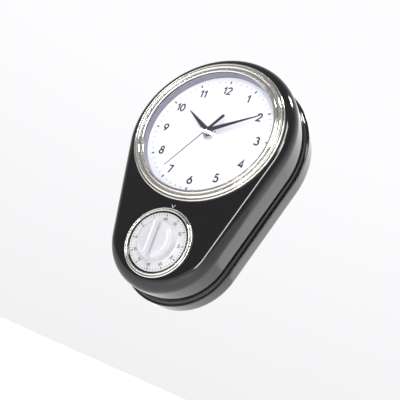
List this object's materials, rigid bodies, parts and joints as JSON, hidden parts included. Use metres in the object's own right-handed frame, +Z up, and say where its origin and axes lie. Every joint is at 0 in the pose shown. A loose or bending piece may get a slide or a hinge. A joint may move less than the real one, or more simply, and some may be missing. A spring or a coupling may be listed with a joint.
{
  "type": "wall clock with timer",
  "caption": "Teardrop wall clock in a deep black case with chrome bezels, a round white dial and a wind-up minute timer with a bell below it.",
  "frame": {"origin": "centre of the hanging keyhole's round hole, on the plane of the wall", "axes": "+Y into the wall, so the dial looks along -Y; +Z up; +X to the right of someone reading the clock"},
  "size_m": [0.1862, 0.0692, 0.2637],
  "materials": {
    "case_black": "glossy moulded ABS",
    "bezel_chrome": "mirror plated",
    "lens_glass": "clear, polished",
    "black_rubber": "matt",
    "well_aluminium": "bright rolled strip",
    "dial_white": "smooth printed white",
    "hand_black": "semi-gloss black",
    "brass": "turned and stamped",
    "screw_steel": "zinc plated",
    "spring_steel": "bright rolled",
    "plate_steel": "stamped sheet",
    "bell_steel": "nickel plated",
    "movement_plastic": "fine spark texture",
    "wheel_plastic": "natural acetal",
    "battery_jacket": "shrink sleeve",
    "board_green": "solder resist",
    "copper_wire": "enamelled copper winding",
    "magnet_grey": "bonded ferrite",
    "knob_grey": "moulded",
    "disc_silver": "satin silver",
    "knob_white": "moulded, satin gloss"
  },
  "bodies": {
    "case": {"front_case": "case_black", "rear_case": "case_black", "case_screws": "screw_steel", "clock_bezel": "bezel_chrome", "clock_lens": "lens_glass", "lens_gasket": "black_rubber", "dial_wall": "well_aluminium", "dial_plate": "dial_white", "dial_screws": "screw_steel", "collar_nut": "screw_steel", "collar_washer": "screw_steel", "rubber_washer": "black_rubber", "movement_case": "movement_plastic", "movement_cover": "movement_plastic", "battery": "battery_jacket", "battery_contacts": "spring_steel", "circuit_board": "board_green", "drive_coil": "copper_wire", "stator": "spring_steel", "timer_bezel": "bezel_chrome", "mainspring": "spring_steel", "timer_front_plate": "plate_steel", "timer_rear_plate": "plate_steel", "plate_pillars": "plate_steel", "plate_screws": "screw_steel", "bell": "bell_steel", "bell_screw": "screw_steel"},
    "seconds": {"second_hand": "hand_black", "seconds_wheel": "wheel_plastic"},
    "step_gear": {"step_wheel": "wheel_plastic"},
    "rotor_magnet": {"rotor": "magnet_grey"},
    "third_gear": {"third_wheel": "wheel_plastic"},
    "centre_gear": {"centre_wheel": "wheel_plastic"},
    "minutes": {"minute_hand": "hand_black", "cannon_pinion": "wheel_plastic"},
    "motion_gear": {"motion_wheel": "wheel_plastic"},
    "hours": {"hour_hand": "hand_black", "hour_wheel": "wheel_plastic"},
    "setter": {"setting_knob": "knob_grey"},
    "timer_dial": {"timer_disc": "disc_silver", "timer_knob": "knob_white", "timer_arbor": "spring_steel", "great_wheel": "brass", "stop_cam": "spring_steel"},
    "reduction_gear": {"reduction_wheel": "brass"},
    "escape_drive": {"escape_drive_wheel": "brass"},
    "escape": {"escape_wheel": "brass"},
    "fork": {"verge": "spring_steel"},
    "hammer": {"bell_hammer": "spring_steel"}
  },
  "joints": [
    {"name": "second_hand_turn", "type": "hinge", "parent": "case", "child": "seconds", "pos_m": [0, -0.04, -0.058], "axis": [0, 1, 0], "continuous": true},
    {"name": "step_gear_turn", "type": "hinge", "parent": "case", "child": "step_gear", "pos_m": [-0.0096, -0.04, -0.058], "axis": [0, 1, 0], "continuous": true},
    {"name": "rotor_turn", "type": "hinge", "parent": "case", "child": "rotor_magnet", "pos_m": [-0.01749, -0.04, -0.06087], "axis": [0, 1, 0], "continuous": true},
    {"name": "third_gear_turn", "type": "hinge", "parent": "case", "child": "third_gear", "pos_m": [0.01224, -0.04, -0.058], "axis": [0, 1, 0], "continuous": true},
    {"name": "centre_gear_turn", "type": "hinge", "parent": "case", "child": "centre_gear", "pos_m": [0, -0.04, -0.058], "axis": [0, 1, 0], "continuous": true},
    {"name": "minute_hand_turn", "type": "hinge", "parent": "case", "child": "minutes", "pos_m": [0, -0.04, -0.058], "axis": [0, 1, 0], "continuous": true},
    {"name": "motion_gear_turn", "type": "hinge", "parent": "case", "child": "motion_gear", "pos_m": [0, -0.04, -0.07], "axis": [0, 1, 0], "continuous": true},
    {"name": "hour_hand_turn", "type": "hinge", "parent": "case", "child": "hours", "pos_m": [0, -0.04, -0.058], "axis": [0, 1, 0], "continuous": true},
    {"name": "setting_knob_turn", "type": "hinge", "parent": "case", "child": "setter", "pos_m": [0.00955, -0.04, -0.07955], "axis": [0, 1, 0], "continuous": true},
    {"name": "timer_turn", "type": "hinge", "parent": "case", "child": "timer_dial", "pos_m": [0, -0.04, -0.1795], "axis": [0, 1, 0], "range_deg": [0, 354]},
    {"name": "reduction_gear_turn", "type": "hinge", "parent": "case", "child": "reduction_gear", "pos_m": [-0.01819, -0.04, -0.169], "axis": [0, 1, 0], "range_deg": [-2124, 0]},
    {"name": "escape_drive_turn", "type": "hinge", "parent": "case", "child": "escape_drive", "pos_m": [-0.02079, -0.04, -0.18377], "axis": [0, 1, 0], "range_deg": [0, 10620]},
    {"name": "escape_wheel_turn", "type": "hinge", "parent": "case", "child": "escape", "pos_m": [-0.01892, -0.04, -0.19441], "axis": [0, 1, 0], "range_deg": [-53100, 0]},
    {"name": "fork_rock", "type": "hinge", "parent": "case", "child": "fork", "pos_m": [-0.01156, -0.04, -0.20058], "axis": [0, 1, 0], "range_deg": [-4, 4]},
    {"name": "hammer_swing", "type": "hinge", "parent": "case", "child": "hammer", "pos_m": [0.027, -0.04, -0.1935], "axis": [0, 1, 0], "range_deg": [-2.5, 8]}
  ],
  "couplings": [
    {"joint": "step_gear_turn", "follows": "second_hand_turn", "ratio": -5},
    {"joint": "rotor_turn", "follows": "second_hand_turn", "ratio": 30},
    {"joint": "third_gear_turn", "follows": "second_hand_turn", "ratio": -0.13333},
    {"joint": "centre_gear_turn", "follows": "second_hand_turn", "ratio": 0.016667},
    {"joint": "motion_gear_turn", "follows": "minute_hand_turn", "ratio": -0.33333},
    {"joint": "hour_hand_turn", "follows": "minute_hand_turn", "ratio": 0.083333},
    {"joint": "setting_knob_turn", "follows": "minute_hand_turn", "ratio": 0.66667},
    {"joint": "reduction_gear_turn", "follows": "timer_turn", "ratio": -6},
    {"joint": "escape_drive_turn", "follows": "timer_turn", "ratio": 30},
    {"joint": "escape_wheel_turn", "follows": "timer_turn", "ratio": -150}
  ]
}
